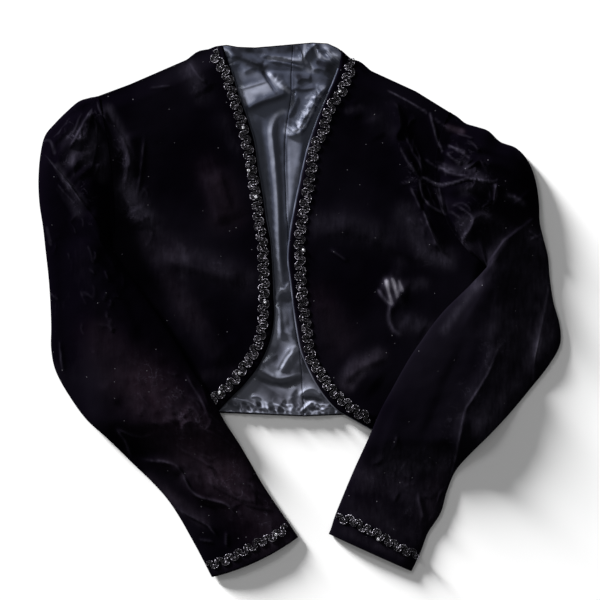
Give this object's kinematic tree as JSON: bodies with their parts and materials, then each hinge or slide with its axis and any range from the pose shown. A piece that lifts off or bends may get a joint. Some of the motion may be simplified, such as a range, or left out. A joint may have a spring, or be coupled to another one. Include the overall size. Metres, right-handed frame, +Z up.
{
  "type": "bolero jacket",
  "caption": "Long-sleeved collarless velvet bolero, laid flat and open, with gathered sleeve heads, satin lining and scroll braid along the fronts and cuffs.",
  "frame": {"origin": "middle of the laid-out jacket, on the surface it lies on", "axes": "+Z up from the surface, +Y from the cuffs towards the neck, +X towards the wearer's left sleeve"},
  "size_m": [0.573, 0.5872, 0.0271],
  "materials": {
    "velvet": "black cotton velvet with a short crushed nap and a faint violet-brown sheen",
    "lining": "slate-grey acetate satin lining, glossy and creased",
    "braid": "black rayon gimp braid with a soft gloss and a few small sequins"
  },
  "bodies": {
    "root": {"back": "velvet", "lining_back_right": "lining", "lining_back_left": "lining", "front_right": "velvet", "front_left": "velvet", "lining_front_right": "lining", "lining_front_left": "lining", "sleeve_right": "velvet", "sleeve_left": "velvet", "braid_front_right": "braid", "braid_front_left": "braid", "braid_cuff_right": "braid", "braid_cuff_left": "braid"}
  },
  "joints": []
}
